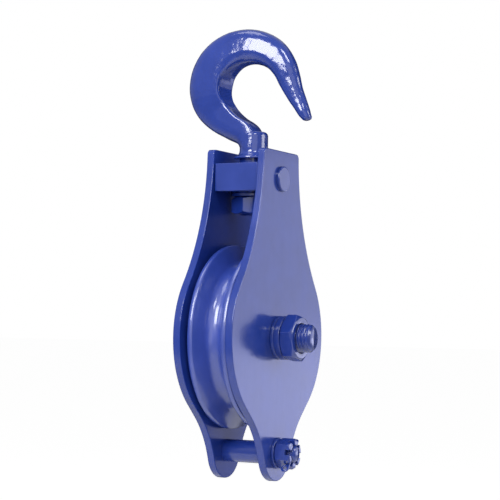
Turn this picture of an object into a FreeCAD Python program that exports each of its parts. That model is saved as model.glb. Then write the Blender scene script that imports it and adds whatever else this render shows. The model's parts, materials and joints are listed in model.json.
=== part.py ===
import FreeCAD, Part
import math
import os
import re
import Sketcher
from FreeCAD import Placement, Rotation, Vector

# Single-sheave lifting block with an open swivel hook.
# Origin at the centre of the sheave, +Z up towards the hook, axle along Y.
# The right cheek and the nuts are on the -Y side. All lengths in millimetres, angles in degrees.

doc = FreeCAD.newDocument("PulleyBlock")

SIZES = [
    # cheek plates
    ("CheekThickness", 5.6, "plate thickness"),
    ("CheekGap", 34.8, "clear gap between the two plates"),
    ("CheekWidth", 142, "widest part of a plate, level with the axle"),
    ("BellyRadius", 62.5, "outer arc beside the sheave"),
    ("NeckRadius", 162, "hollow arc from the belly up to the top edge"),
    ("TopHeight", 133, "axle to the top edge"),
    ("TopCornerRadius", 3.5, "corner of the top edge"),
    ("FlankAngle", 48.5, "turn of the belly arc before the straight flank"),
    ("WaistRadius", 70, "shallow hollow between the flank and the bottom lobe"),
    ("LobeRadius", 19.8, "round bottom lobe about the tie bolt"),
    ("TieDrop", 81.5, "axle down to the tie bolt"),
    ("TrunnionDrop", 20, "top edge down to the crosshead's trunnions"),
    ("CheekEdgeRadius", 0.6, "rolled-over plate edge"),
    # sheave and its bearing
    ("SheaveDiameter", 132, "over the rims"),
    ("SheaveWidth", 30, "across the rims"),
    ("TreadDiameter", 102, "at the bottom of the rope groove"),
    ("GrooveRadius", 7.5, "round bottom of the groove, for a 14 rope"),
    ("GrooveMouth", 24.1, "width of the groove's cut where it opens beyond the rims"),
    ("GrooveOverrun", 2, "groove cut beyond the rims, so that it opens"),
    ("RimLipRadius", 1.1, "rounding of the rim lips"),
    ("RimInnerDiameter", 84, "inside of the rim"),
    ("WebThickness", 12, "web between hub and rim"),
    ("WebFilletRadius", 3, "cast fillets beside the web"),
    ("HubDiameter", 46, "outside of the hub"),
    ("BushDiameter", 27, "outside of the bronze bush"),
    ("HubWasherDiameter", 42, "thrust washer beside the hub"),
    ("HubWasherThickness", 2, "thrust washer"),
    ("HubClearance", 0.2, "end play on each side of the hub"),
    ("RunningGap", 0.08, "radial gap of a part that turns on a pin"),
    # axle bolt
    ("AxleDiameter", 20, "axle bolt"),
    ("AxleHexWidth", 30, "across the flats of its head and nut"),
    ("AxleHeadHeight", 12.5, "head on the left side"),
    ("AxleNutHeight", 10.5, "thin nut on the right side"),
    ("AxleNutTurn", 47, "turn of the nut's corners about the axle"),
    ("AxleWasherDiameter", 31, "flat and spring washer"),
    ("AxleWasherThickness", 2.5, "flat washer"),
    ("SpringWasherThickness", 4.6, "spring washer"),
    ("SpringWasherSplit", 1.6, "its open joint"),
    ("SpringWasherSlant", 20, "slant of the open joint"),
    ("AxleOverhang", 8.5, "threaded end beyond the nut"),
    ("BoltHoleGap", 0.15, "radial gap of a bolt in its hole"),
    ("ThreadGap", 0.05, "radial gap of a nut on its thread"),
    ("EndChamfer", 1.5, "chamfer on a bolt end"),
    ("HexFaceShare", 0.475, "radius of a hexagon's flat end face, as a share of its width"),
    # tie bolt and spacer
    ("TieDiameter", 12, "tie bolt"),
    ("TieHexWidth", 19, "across the flats of its nut"),
    ("TieHeadDiameter", 20, "flat round head on the left side"),
    ("TieHeadHeight", 4, "flat round head on the left side"),
    ("TieNutHeight", 12, "slotted nut"),
    ("SlotWidth", 3.6, "slots for the split pin"),
    ("SlotDepth", 3.9, "slots for the split pin"),
    ("TieWasherDiameter", 22, "flat washer under the nut"),
    ("TieWasherThickness", 2, "flat washer under the nut"),
    ("SpacerDiameter", 16, "spacer tube between the plates"),
    ("TieOverhang", 1, "threaded end beyond the nut"),
    ("SplitPinDiameter", 3, "split pin of the slotted nut"),
    ("SplitPinTurn", 50, "the pin's slope in its slots, down to the front"),
    ("SplitPinEye", 2.2, "radius of its eye"),
    ("SplitPinTip", 1.5, "the eye leans towards the cheek"),
    ("SplitPinGap", 0.15, "the eye stays clear of the nut's flat"),
    ("SplitPinLongLeg", 6.5, "leg bent back beside the nut"),
    ("SplitPinShortLeg", 5, "leg bent back beside the nut"),
    # crosshead
    ("CrossheadWidth", 53, "along X"),
    ("CrossheadHeight", 20, "along Z"),
    ("CrossheadEndGap", 0.3, "bar end to plate"),
    ("CrossheadEdgeRadius", 0.8, "edges of the bar"),
    ("TrunnionDiameter", 18, "round ends in the plates"),
    ("TrunnionOverhang", 2.4, "beyond the plate"),
    ("TrunnionEdgeRadius", 0.8, "rounded end of the trunnion"),
    # hook
    ("ShankDiameter", 20, "round shank in the crosshead"),
    ("CollarDiameter", 28, "collar above the crosshead"),
    ("CollarRise", 4.7, "crosshead's top to the collar"),
    ("CollarHeight", 1.6, "straight rim of the collar"),
    ("CollarRimRadius", 0.4, "rounded upper edge of the rim"),
    ("CollarFlare", 1.2, "rise of the collar's top face from the rim to the neck"),
    ("CollarFlareRadius", 4.8, "hollow where that face meets the neck"),
    ("NeckDiameter", 20.4, "round neck above the collar"),
    ("NeckTop", 34.5, "trunnions up to the shoulder of the neck"),
    ("NeckShoulder", 3, "rounded edge of the shoulder"),
    ("ThreadDiameter", 18, "threaded end below the crosshead"),
    ("HookNutWidth", 27, "across the flats"),
    ("HookNutHeight", 12.5, "hook nut"),
    ("HookWasherDiameter", 32, "thrust washer under the crosshead"),
    ("HookWasherThickness", 2.5, "thrust washer"),
    ("ShankOverhang", 1, "threaded end beyond the nut"),
    ("NutPinDiameter", 3, "pin through nut and shank"),
    ("SeatGap", 0.1, "between faces that slide on each other"),
    ("BowlWidth", 43, "inside of the hook's bowl, along Y"),
    ("BowlDepth", 35, "inside of the hook's bowl, along Z"),
    ("BowlHeight", 66.4, "trunnions up to the bowl's centre"),
    ("BowlOffset", 2.6, "bowl's centre behind the shank"),
    ("StemStart", 20.7, "trunnions up to the start of the bend"),
    ("StemRoot", 5, "stem hidden in the collar below the bend"),
    ("StemWidth", 18.2, "section where the bend starts, inside the neck"),
    ("StemThickness", 20.8, "thickness where the bend starts"),
    ("ThroatAngle", -37.5, "where the neck runs into the bowl"),
    ("ThroatWidth", 24.1, "section at the throat"),
    ("ThroatThickness", 19.5, "thickness at the throat"),
    ("SwellAngle", 30, "where the back is widest"),
    ("SwellWidth", 28.5, "widest section"),
    ("SwellThickness", 24.5, "thickness across the hook's plane"),
    ("TipRootAngle", 153, "where the bowl runs into the tip"),
    ("TipRootWidth", 18.4, "section where the tip starts"),
    ("TipRootThickness", 15.5, "thickness where the tip starts"),
    ("TipWidth", 7.6, "section near the end of the tip"),
    ("TipThickness", 9, "thickness near the end of the tip"),
    ("TipLength", 42.7, "straight length of the tip"),
    ("TipFlare", 26, "tip away from the shank's line"),
    ("TipHollow", 1.7, "shallow hollow in the tip's outer side"),
    ("TipEndShift", 2, "the tip's round end leans outwards"),
]

sheet = doc.addObject("Spreadsheet::Sheet", "Sizes")
for row, (alias, size, note) in enumerate(SIZES, 1):
    sheet.set("A%d" % row, note)
    sheet.set("B%d" % row, str(size))
    sheet.setAlias("B%d" % row, alias)
doc.recompute()
ALIASES = {alias for alias, size, note in SIZES}

UP = Vector(0, 0, 1)
# turns a piece made about its own Z axis so that it points along -Y, with its own Y upwards
ALONG_AXLE = Rotation(Vector(1, 0, 0), 90)
TINY = 1e-4


def formula(text):
    """The same formula with each size looked up in the sheet."""
    return re.sub(r"[A-Za-z]\w*", lambda word: ("Sizes." + word[0]) if word[0] in ALIASES else word[0], text)


def size_of(text):
    return float(sheet.evalExpression(formula(text)))


def bind(item, prop, text):
    item.setExpression(prop, formula(text))


def place(item, label, turn=Rotation(), x="0", y="0", z="0"):
    """Name a finished sub-part and tie its place to the sheet."""
    item.Label = label
    item.Placement = Placement(Vector(size_of(x), size_of(y), size_of(z)), turn)
    for axis, text in (("x", x), ("y", y), ("z", z)):
        bind(item, "Placement.Base." + axis, text)
    NODES.append(item)
    return item


NODES = []


# sketch helpers

def new_sketch(body, name, role="XZ_Plane"):
    plane = next(part for part in body.Origin.OriginFeatures if part.Role == role)
    sketch = body.newObject("Sketcher::SketchObject", name)
    sketch.AttachmentSupport = [(plane, "")]
    sketch.MapMode = "FlatFace"
    return sketch


def limit(sketch, kind, *where_and_size):
    """Add a dimension whose value follows a formula."""
    where, text = where_and_size[:-1], where_and_size[-1]
    amount = size_of(text)
    if kind == "Angle":
        amount = math.radians(amount)
    index = sketch.addConstraint(Sketcher.Constraint(kind, *where, amount))
    bind(sketch, "Constraints[%d]" % index, text if kind != "Angle" else "(%s) * 1 deg" % text)


def pin_point(sketch, edge, end, x, y):
    """Hold one end of an edge at a formula's place."""
    for kind, axis, text in (("DistanceX", -2, x), ("DistanceY", -1, y)):
        if text == "0":
            sketch.addConstraint(Sketcher.Constraint("PointOnObject", edge, end, axis))
        else:
            limit(sketch, kind, -1, 1, edge, end, text)


def closed_outline(sketch, corners):
    """Straight edges through corners, each given as two formulas."""
    places = [Vector(size_of(x), size_of(y), 0) for x, y in corners]
    for start, end in zip(places, places[1:] + places[:1]):
        sketch.addGeometry(Part.LineSegment(start, end))
    count = len(corners)
    for edge, (x, y) in enumerate(corners):
        sketch.addConstraint(Sketcher.Constraint("Coincident", edge - 1 if edge else count - 1, 2, edge, 1))
        pin_point(sketch, edge, 1, x, y)


def turned(name, corners):
    """A piece turned about its own Z axis; corners are radius and height."""
    body = doc.addObject("PartDesign::Body", name)
    sketch = new_sketch(body, name + "Section")
    closed_outline(sketch, corners)
    doc.recompute()
    turn = body.newObject("PartDesign::Revolution", name + "Turn")
    turn.Profile = sketch
    turn.ReferenceAxis = (sketch, ["V_Axis"])
    turn.Angle = 360
    doc.recompute()
    return body


def tube(name, outer, inner, start, end):
    """A plain ring or tube between two radii and two heights."""
    return turned(name, [(inner, start), (outer, start), (outer, end), (inner, end)])


def edges_at(shape, test):
    return ["Edge%d" % number for number, edge in enumerate(shape.Edges, 1) if test(edge)]


def rounded(body, name, size, test):
    """Round those edges of a body that pass a test."""
    doc.recompute()
    base = body.Tip
    chosen = edges_at(base.Shape, test)
    if not chosen:
        raise RuntimeError("no edge to round for " + name)
    fillet = body.newObject("PartDesign::Fillet", name)
    fillet.Base = (base, chosen)
    fillet.Radius = size_of(size)
    bind(fillet, "Radius", size)
    doc.recompute()


def is_ring(edge, radius=None, height=None):
    """A full circle about Z, at a radius and a distance from the middle plane when they are given."""
    if not isinstance(edge.Curve, Part.Circle) or len(edge.Vertexes) != 1:
        return False
    if radius is not None and abs(edge.Curve.Radius - radius) > TINY:
        return False
    return height is None or abs(abs(edge.Curve.Center.z) - height) < TINY


def combine(kind, name, base, tool):
    result = doc.addObject("Part::" + kind, name)
    result.Base = base
    result.Tool = tool
    doc.recompute()
    return result


def hexagon(name, width, start, height):
    """A six-sided block with its corners turned off at both ends."""
    block = doc.addObject("Part::Prism", name + "Block")
    block.Polygon = 6
    bind(block, "Circumradius", "(%s) / sqrt(3)" % width)
    bind(block, "Height", height)
    bind(block, "Placement.Base.z", start)
    corner = "(%s) / sqrt(3)" % width
    face = "(%s) * HexFaceShare" % width
    bevel = "((%s) - (%s)) / sqrt(3)" % (corner, face)
    top = "(%s) + (%s)" % (start, height)
    barrel = turned(name + "Barrel", [
        ("0", start), (face, start), (corner, "(%s) + %s" % (start, bevel)),
        (corner, "%s - %s" % (top, bevel)), (face, top), ("0", top)])
    return combine("Common", name + "Hexagon", block, barrel)


def rod(name, diameter, length, middle=Vector(), turn=Rotation()):
    """A cylinder about a middle point, for cutting or as a pin."""
    piece = doc.addObject("Part::Cylinder", name)
    bind(piece, "Radius", "(%s) / 2" % diameter)
    bind(piece, "Height", length)
    half = turn.multVec(Vector(0, 0, size_of(length) / 2))
    piece.Placement = Placement(middle - half, turn)
    doc.recompute()
    return piece


# cheek plates

def cheek_outline(sketch):
    """Right half of the pear-shaped plate, with the straight edge on the middle line."""
    belly, neck, waist = size_of("BellyRadius"), size_of("NeckRadius"), size_of("WaistRadius")
    lobe, corner, top = size_of("LobeRadius"), size_of("TopCornerRadius"), size_of("TopHeight")
    lean = math.radians(size_of("FlankAngle"))
    belly_centre = Vector(size_of("CheekWidth / 2 - BellyRadius"), 0, 0)
    lobe_centre = Vector(0, -size_of("TieDrop"), 0)
    neck_centre = Vector(belly_centre.x + math.sqrt((belly + neck) ** 2 - top ** 2), top, 0)
    corner_centre = Vector(neck_centre.x - math.sqrt((neck + corner) ** 2 - corner ** 2), top - corner, 0)
    outward = Vector(math.cos(lean), -math.sin(lean), 0)
    down = Vector(-math.sin(lean), -math.cos(lean), 0)
    start = belly_centre + outward * (belly + waist) - lobe_centre
    reach = start.dot(down)
    slide = -reach - math.sqrt(reach ** 2 - start.dot(start) + (lobe + waist) ** 2)
    waist_centre = lobe_centre + start + down * slide

    def towards(centre, target, radius):
        return centre + (target - centre).normalize() * radius

    def arc(centre, radius, first, last):
        angles = [math.atan2(end.y - centre.y, end.x - centre.x) for end in (first, last)]
        return Part.ArcOfCircle(Part.Circle(centre, UP, radius), *angles)

    bottom = lobe_centre - Vector(0, lobe, 0)
    neck_start = towards(belly_centre, neck_centre, belly)
    neck_end = towards(neck_centre, corner_centre, neck)
    flank_top = belly_centre + outward * belly
    flank_end = waist_centre - outward * waist
    lobe_top = towards(lobe_centre, waist_centre, lobe)
    top_end = Vector(corner_centre.x, top, 0)
    sketch.addGeometry([
        Part.LineSegment(bottom, Vector(0, top, 0)),
        Part.LineSegment(Vector(0, top, 0), top_end),
        arc(corner_centre, corner, neck_end, top_end),
        arc(neck_centre, neck, neck_end, neck_start),
        arc(belly_centre, belly, flank_top, neck_start),
        Part.LineSegment(flank_end, flank_top),
        arc(waist_centre, waist, flank_end, lobe_top),
        arc(lobe_centre, lobe, bottom, lobe_top)])
    middle, top_edge, corner_arc, neck_arc, belly_arc, flank, waist_arc, lobe_arc = range(8)
    for kind, first, first_end, second, second_end in (
            ("Coincident", middle, 2, top_edge, 1), ("Coincident", middle, 1, lobe_arc, 1),
            ("Tangent", top_edge, 2, corner_arc, 2), ("Tangent", corner_arc, 1, neck_arc, 1),
            ("Tangent", neck_arc, 2, belly_arc, 2), ("Tangent", belly_arc, 1, flank, 2),
            ("Tangent", flank, 1, waist_arc, 1), ("Tangent", waist_arc, 2, lobe_arc, 2)):
        sketch.addConstraint(Sketcher.Constraint(kind, first, first_end, second, second_end))
    sketch.addConstraint(Sketcher.Constraint("Horizontal", top_edge))
    sketch.addConstraint(Sketcher.Constraint("PointOnObject", middle, 1, -2))
    for edge, size in ((corner_arc, "TopCornerRadius"), (neck_arc, "NeckRadius"), (belly_arc, "BellyRadius"),
                       (waist_arc, "WaistRadius"), (lobe_arc, "LobeRadius")):
        limit(sketch, "Radius", edge, size)
    pin_point(sketch, middle, 2, "0", "TopHeight")
    pin_point(sketch, belly_arc, 3, "CheekWidth / 2 - BellyRadius", "0")
    pin_point(sketch, lobe_arc, 3, "0", "-TieDrop")
    limit(sketch, "DistanceY", -1, 1, neck_arc, 3, "TopHeight")
    limit(sketch, "Angle", flank, "90 - FlankAngle")


TRUNNIONS = "(TopHeight - TrunnionDrop)"


def cheek_holes(sketch):
    """Trunnion, axle and tie bolt holes on the middle line."""
    holes = [(TRUNNIONS, "TrunnionDiameter / 2 + RunningGap"),
             ("0", "AxleDiameter / 2 + BoltHoleGap"),
             ("-TieDrop", "TieDiameter / 2 + BoltHoleGap")]
    for edge, (height, radius) in enumerate(holes):
        sketch.addGeometry(Part.Circle(Vector(0, size_of(height), 0), UP, size_of(radius)))
        limit(sketch, "Radius", edge, radius)
        pin_point(sketch, edge, 3, "0", height)


def make_cheek(label, side):
    name = "".join(word.title() for word in label.split("_"))
    body = doc.addObject("PartDesign::Body", name)
    outline = new_sketch(body, name + "Outline")
    cheek_outline(outline)
    doc.recompute()
    plate = body.newObject("PartDesign::Pad", name + "Plate")
    plate.Profile = outline
    plate.SideType = "Symmetric"
    bind(plate, "Length", "CheekThickness")
    doc.recompute()
    whole = body.newObject("PartDesign::Mirrored", name + "Whole")
    whole.Originals = [plate]
    whole.MirrorPlane = (outline, ["V_Axis"])
    body.Tip = whole
    doc.recompute()
    full_volume = whole.Shape.Volume
    circles = new_sketch(body, name + "HoleCircles")
    cheek_holes(circles)
    holes = body.newObject("PartDesign::Pocket", name + "Holes")
    holes.Profile = circles
    holes.Type = "ThroughAll"
    holes.SideType = "Symmetric"
    doc.recompute()
    if holes.Shape.Volume > full_volume - 1:
        raise RuntimeError("the holes cut nothing in " + label)
    half = size_of("CheekThickness / 2")
    rounded(body, name + "Edges", "CheekEdgeRadius",
            lambda edge: len(edge.Vertexes) == 2 and all(abs(abs(v.Y) - half) < TINY for v in edge.Vertexes))
    place(body, label, y="%d * (CheekGap + CheekThickness) / 2" % side)


# sheave, bush and thrust washers

def groove_section(sketch):
    """Round-bottomed groove that opens past the rim; x is the radius, y runs along the axle."""
    radius = size_of("GrooveRadius")
    floor, open_at = "TreadDiameter / 2 + GrooveRadius", "SheaveDiameter / 2 + GrooveOverrun"
    centre = Vector(size_of(floor), 0, 0)
    corner = Vector(size_of(open_at), size_of("GrooveMouth / 2"), 0)
    away = corner - centre
    turn = math.atan2(away.y, away.x) + math.acos(radius / away.Length)
    touch = centre + Vector(math.cos(turn), math.sin(turn), 0) * radius
    touch_mirrored, corner_mirrored = Vector(touch.x, -touch.y, 0), Vector(corner.x, -corner.y, 0)
    sketch.addGeometry([
        Part.ArcOfCircle(Part.Circle(centre, UP, radius), turn, 2 * math.pi - turn),
        Part.LineSegment(touch_mirrored, corner_mirrored),
        Part.LineSegment(corner_mirrored, corner),
        Part.LineSegment(corner, touch)])
    bottom, right, mouth, left = range(4)
    for kind, first, first_end, second, second_end in (
            ("Tangent", bottom, 2, right, 1), ("Coincident", right, 2, mouth, 1),
            ("Coincident", mouth, 2, left, 1), ("Tangent", left, 2, bottom, 1)):
        sketch.addConstraint(Sketcher.Constraint(kind, first, first_end, second, second_end))
    limit(sketch, "Radius", bottom, "GrooveRadius")
    pin_point(sketch, bottom, 3, floor, "0")
    pin_point(sketch, mouth, 1, open_at, "-GrooveMouth / 2")
    pin_point(sketch, mouth, 2, open_at, "GrooveMouth / 2")


def make_sheave():
    hub, rim, web = "CheekGap / 2 - HubWasherThickness - HubClearance", "SheaveWidth / 2", "WebThickness / 2"
    bore, boss = "BushDiameter / 2", "HubDiameter / 2"
    ring, outside = "RimInnerDiameter / 2", "SheaveDiameter / 2"
    right = [(bore, hub), (boss, hub), (boss, web), (ring, web), (ring, rim), (outside, rim)]
    left = [(radius, "-(%s)" % height) for radius, height in reversed(right)]
    body = turned("Sheave", right + left)
    blank_volume = body.Tip.Shape.Volume
    section = new_sketch(body, "SheaveGrooveSection")
    groove_section(section)
    doc.recompute()
    groove = body.newObject("PartDesign::Groove", "SheaveGroove")
    groove.Profile = section
    groove.ReferenceAxis = (section, ["V_Axis"])
    groove.Angle = 360
    doc.recompute()
    if groove.Shape.Volume > blank_volume - 1:
        raise RuntimeError("the rope groove cuts nothing")
    outer, web_half = size_of(outside), size_of(web)
    rounded(body, "SheaveLips", "RimLipRadius", lambda edge: is_ring(edge, outer))
    rounded(body, "SheaveWebFillets", "WebFilletRadius", lambda edge: is_ring(edge, height=web_half))
    place(body, "sheave", ALONG_AXLE)
    bush = tube("Bush", "BushDiameter / 2", "AxleDiameter / 2 + RunningGap", "-(%s)" % hub, hub)
    place(bush, "sheave_bush", ALONG_AXLE)
    make_pair("hub_washer", "HubWasherDiameter", "AxleDiameter / 2 + BoltHoleGap", "HubWasherThickness",
              "(CheekGap / 2 - HubWasherThickness)")


def make_pair(label, diameter, bore, thickness, seat):
    """Two like washers on the axle, each lying outwards from a seat at a distance from the middle."""
    for end, side in (("right", 1), ("left", -1)):
        name = "".join(word.title() for word in label.split("_")) + end.title()
        washer = tube(name, "(%s) / 2" % diameter, bore, "0", thickness)
        place(washer, label + "_" + end, Rotation(Vector(1, 0, 0), 90 * side), y="%d * %s" % (-side, seat))


# axle bolt, washers and nut

CHEEK_FACE = "(CheekGap / 2 + CheekThickness)"


def bolt_rod(name, diameter, start, end):
    """A plain rod with one chamfered end."""
    radius = "(%s) / 2" % diameter
    return turned(name, [("0", start), (radius, start), (radius, "%s - EndChamfer" % end),
                         ("%s - EndChamfer" % radius, end), ("0", end)])


def make_axle():
    nut_seat = CHEEK_FACE + " + AxleWasherThickness + SpringWasherThickness"
    head_seat = "-(%s + AxleWasherThickness)" % CHEEK_FACE
    head = hexagon("AxleHead", "AxleHexWidth", head_seat + " - AxleHeadHeight", "AxleHeadHeight")
    shank = bolt_rod("AxleRod", "AxleDiameter", head_seat, nut_seat + " + AxleNutHeight + AxleOverhang")
    place(combine("Fuse", "AxleBolt", head, shank), "axle_bolt", ALONG_AXLE)
    hole = "AxleDiameter / 2 + BoltHoleGap"
    make_pair("axle_washer", "AxleWasherDiameter", hole, "AxleWasherThickness", CHEEK_FACE)
    ring = tube("SpringRing", "AxleWasherDiameter / 2", hole, "0", "SpringWasherThickness")
    gap = doc.addObject("Part::Box", "SpringGap")
    bind(gap, "Length", "AxleWasherDiameter")
    bind(gap, "Width", "SpringWasherSplit")
    bind(gap, "Height", "SpringWasherThickness * 3")
    slant = Rotation(Vector(1, 0, 0), size_of("SpringWasherSlant"))
    gap.Placement = Placement(Vector(0, 0, -size_of("SpringWasherThickness")), slant)
    bind(gap, "Placement.Base.z", "-SpringWasherThickness")
    spring = combine("Cut", "SpringWasher", ring, gap)
    place(spring, "axle_spring_washer", ALONG_AXLE, y="-(%s + AxleWasherThickness)" % CHEEK_FACE)
    block = hexagon("AxleNut", "AxleHexWidth", "0", "AxleNutHeight")
    bore = rod("AxleNutBore", "AxleDiameter + ThreadGap * 2", "AxleNutHeight * 4")
    nut = combine("Cut", "AxleNutPiece", block, bore)
    turn = ALONG_AXLE * Rotation(UP, size_of("AxleNutTurn"))
    place(nut, "axle_nut", turn, y="-(%s)" % nut_seat)


# tie bolt, spacer, slotted nut and split pin

NUT_SEAT = CHEEK_FACE + " + TieWasherThickness"
NUT_TOP = NUT_SEAT + " + TieNutHeight"
PIN_SEAT = NUT_TOP + " - SlotDepth + SplitPinDiameter / 2 + ThreadGap"
# the two legs' distance from the pin's middle, and their bend's radius, in leg radii
LEG_OVERLAP = 0.93
LEG_BEND = 1.5


def bent_wire(corners, bend):
    """A path of straight runs joined by arcs of one bend radius."""
    edges = []
    start = corners[0]
    for before, corner, after in zip(corners, corners[1:], corners[2:]):
        back, ahead = (before - corner).normalize(), (after - corner).normalize()
        half = back.getAngle(ahead) / 2
        first, last = corner + back * (bend / math.tan(half)), corner + ahead * (bend / math.tan(half))
        middle = corner + (back + ahead).normalize() * (bend / math.sin(half) - bend)
        edges += [Part.LineSegment(start, first).toShape(), Part.Arc(first, middle, last).toShape()]
        start = last
    edges.append(Part.LineSegment(start, corners[-1]).toShape())
    return Part.Wire(edges)


def split_pin_shape():
    """An eye below the slotted end, with two legs through the slots and bent back beside the nut."""
    thick = size_of("SplitPinDiameter / 4")
    apart = thick * LEG_OVERLAP
    slope = math.radians(size_of("SplitPinTurn"))
    along = Vector(math.cos(slope), math.sin(slope), 0)
    eye, tip = size_of("SplitPinEye"), size_of("SplitPinTip")
    out = size_of("TieHexWidth / 2 + SplitPinGap + SplitPinDiameter / 4 + SplitPinEye")
    bend = size_of("TieHexWidth / 2 + SplitPinDiameter / 4 + 6 * ThreadGap")
    whole = Part.makeTorus(eye, thick, along * -out - UP * tip, along.cross(UP))
    for side, length in ((-1, "SplitPinShortLeg"), (1, "SplitPinLongLeg")):
        offset = UP * (side * apart)
        rise = min(eye, tip + side * apart)
        start = along * (math.sqrt(eye ** 2 - rise ** 2) - out) + offset
        elbow = along * (bend + (side + 1) * apart) + offset
        path = bent_wire([start, elbow, elbow - UP * size_of(length)], thick * LEG_BEND)
        ring = Part.Wire([Part.makeCircle(thick, start, along)])
        whole = whole.fuse(path.makePipeShell([ring], True, True))
    return whole.removeSplitter()


def make_tie():
    head, rim, shank = "TieHeadDiameter / 2", "TieHeadHeight / 4", "TieDiameter / 2"
    end = NUT_TOP + " + TieOverhang"
    seat = "-%s" % CHEEK_FACE
    back = seat + " - TieHeadHeight"
    bolt = turned("TieBoltWhole", [
        ("0", back), (head + " - " + rim, back), (head, back + " + " + rim), (head, seat), (shank, seat),
        (shank, end + " - EndChamfer"), (shank + " - EndChamfer", end), ("0", end)])
    across = Rotation(UP, size_of("SplitPinTurn")) * Rotation(Vector(0, 1, 0), 90)
    hole = rod("TiePinHole", "SplitPinDiameter + 2 * ThreadGap", "TieDiameter * 2",
               Vector(0, 0, size_of(PIN_SEAT)), across)
    place(combine("Cut", "TieBolt", bolt, hole), "tie_bolt", ALONG_AXLE, z="-TieDrop")
    gap = "TieDiameter / 2 + BoltHoleGap"
    spacer = tube("TieSpacer", "SpacerDiameter / 2", gap, "-CheekGap / 2", "CheekGap / 2")
    place(spacer, "tie_spacer", ALONG_AXLE, z="-TieDrop")
    washer = tube("TieWasher", "TieWasherDiameter / 2", gap, "0", "TieWasherThickness")
    place(washer, "tie_washer", ALONG_AXLE, y="-%s" % CHEEK_FACE, z="-TieDrop")
    make_slotted_nut()
    pin = doc.addObject("Part::Feature", "SplitPin")
    pin.Shape = split_pin_shape()
    place(pin, "tie_split_pin", ALONG_AXLE, y="-(%s)" % PIN_SEAT, z="-TieDrop")


def make_slotted_nut():
    block = hexagon("TieNut", "TieHexWidth", "0", "TieNutHeight")
    bore = rod("TieNutBore", "TieDiameter + ThreadGap * 2", "TieNutHeight * 4")
    nut = combine("Cut", "TieNutBored", block, bore)
    for number in range(3):
        slot = doc.addObject("Part::Box", "TieSlot%d" % number)
        bind(slot, "Length", "TieHexWidth * 2")
        bind(slot, "Width", "SlotWidth")
        bind(slot, "Height", "SlotDepth * 2")
        turn = Rotation(UP, 30 + 60 * number)
        corner = turn.multVec(Vector(-size_of("TieHexWidth"), -size_of("SlotWidth / 2"), 0))
        slot.Placement = Placement(corner + Vector(0, 0, size_of("TieNutHeight - SlotDepth")), turn)
        nut = combine("Cut", "TieNutSlotted%d" % number, nut, slot)
    turn = ALONG_AXLE * Rotation(UP, size_of("SplitPinTurn - 30"))
    place(nut, "tie_nut", turn, y="-(%s)" % NUT_SEAT, z="-TieDrop")


# crosshead

def make_crosshead():
    body = doc.addObject("PartDesign::Body", "Crosshead")
    section = new_sketch(body, "CrossheadSection")
    x, z = "CrossheadWidth / 2", "CrossheadHeight / 2"
    closed_outline(section, [("-" + x, "-" + z), (x, "-" + z), (x, z), ("-" + x, z)])
    doc.recompute()
    bar = body.newObject("PartDesign::Pad", "CrossheadBar")
    bar.Profile = section
    bar.SideType = "Symmetric"
    bind(bar, "Length", "CheekGap - 2 * CrossheadEndGap")
    rounded(body, "CrossheadEdges", "CrossheadEdgeRadius", lambda edge: True)
    circle = new_sketch(body, "TrunnionCircle")
    circle.addGeometry(Part.Circle(Vector(), UP, size_of("TrunnionDiameter / 2")))
    limit(circle, "Radius", 0, "TrunnionDiameter / 2")
    pin_point(circle, 0, 3, "0", "0")
    doc.recompute()
    trunnions = body.newObject("PartDesign::Pad", "Trunnions")
    trunnions.Profile = circle
    trunnions.SideType = "Symmetric"
    bind(trunnions, "Length", "2 * (%s + TrunnionOverhang)" % CHEEK_FACE)
    doc.recompute()
    end = size_of(CHEEK_FACE + " + TrunnionOverhang")
    rounded(body, "TrunnionEnds", "TrunnionEdgeRadius",
            lambda edge: len(edge.Vertexes) == 1 and abs(abs(edge.Vertexes[0].Y) - end) < TINY)
    solid_volume = body.Tip.Shape.Volume
    eye = new_sketch(body, "CrossheadEyeCircle", "XY_Plane")
    eye.addGeometry(Part.Circle(Vector(), UP, size_of("ShankDiameter / 2 + RunningGap")))
    limit(eye, "Radius", 0, "ShankDiameter / 2 + RunningGap")
    pin_point(eye, 0, 3, "0", "0")
    bore = body.newObject("PartDesign::Pocket", "CrossheadEye")
    bore.Profile = eye
    bore.Type = "ThroughAll"
    bore.SideType = "Symmetric"
    doc.recompute()
    if bore.Shape.Volume > solid_volume - 1:
        raise RuntimeError("the crosshead's eye cuts nothing")
    place(body, "crosshead", z=TRUNNIONS)


# hook

CROSSHEAD_TOP = "CrossheadHeight / 2"
WASHER_TOP = "-(CrossheadHeight / 2 + SeatGap)"
HOOK_NUT_TOP = WASHER_TOP + " - HookWasherThickness"
HOOK_NUT_BOTTOM = HOOK_NUT_TOP + " - HookNutHeight"
RING_POINTS = 20
# sections of the bowl before and after its widest one, and how slowly it narrows each way
BACK_STATIONS, FRONT_STATIONS = 4, 5
BACK_POWER, FRONT_POWER = 2.5, 1.64
# how square a section is, and how much thinner its outer side is than its inner side
SQUARENESS, TAPER = 0.24, 0.3
# pull of the bend's two ends, in stem widths, the places of the sections between them, and how late it widens
NECK_PULL, THROAT_PULL = 0.85, 0.97
NECK_SHARES = (0.34, 0.67)
NECK_WIDTH_POWER = 4.2
# places along the tip, how late it narrows, how round it gets, and the turns of its round end
TIP_SHARES = (0.25, 0.5, 0.75, 1)
TIP_WIDTH_POWER, TIP_THICKNESS_POWER = 1.7, 0.9
TIP_FORM = 0.2
TIP_END_TURNS = (35, 60, 78)


def blend(start, end, share, power):
    return start + (end - start) * share ** power


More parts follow.
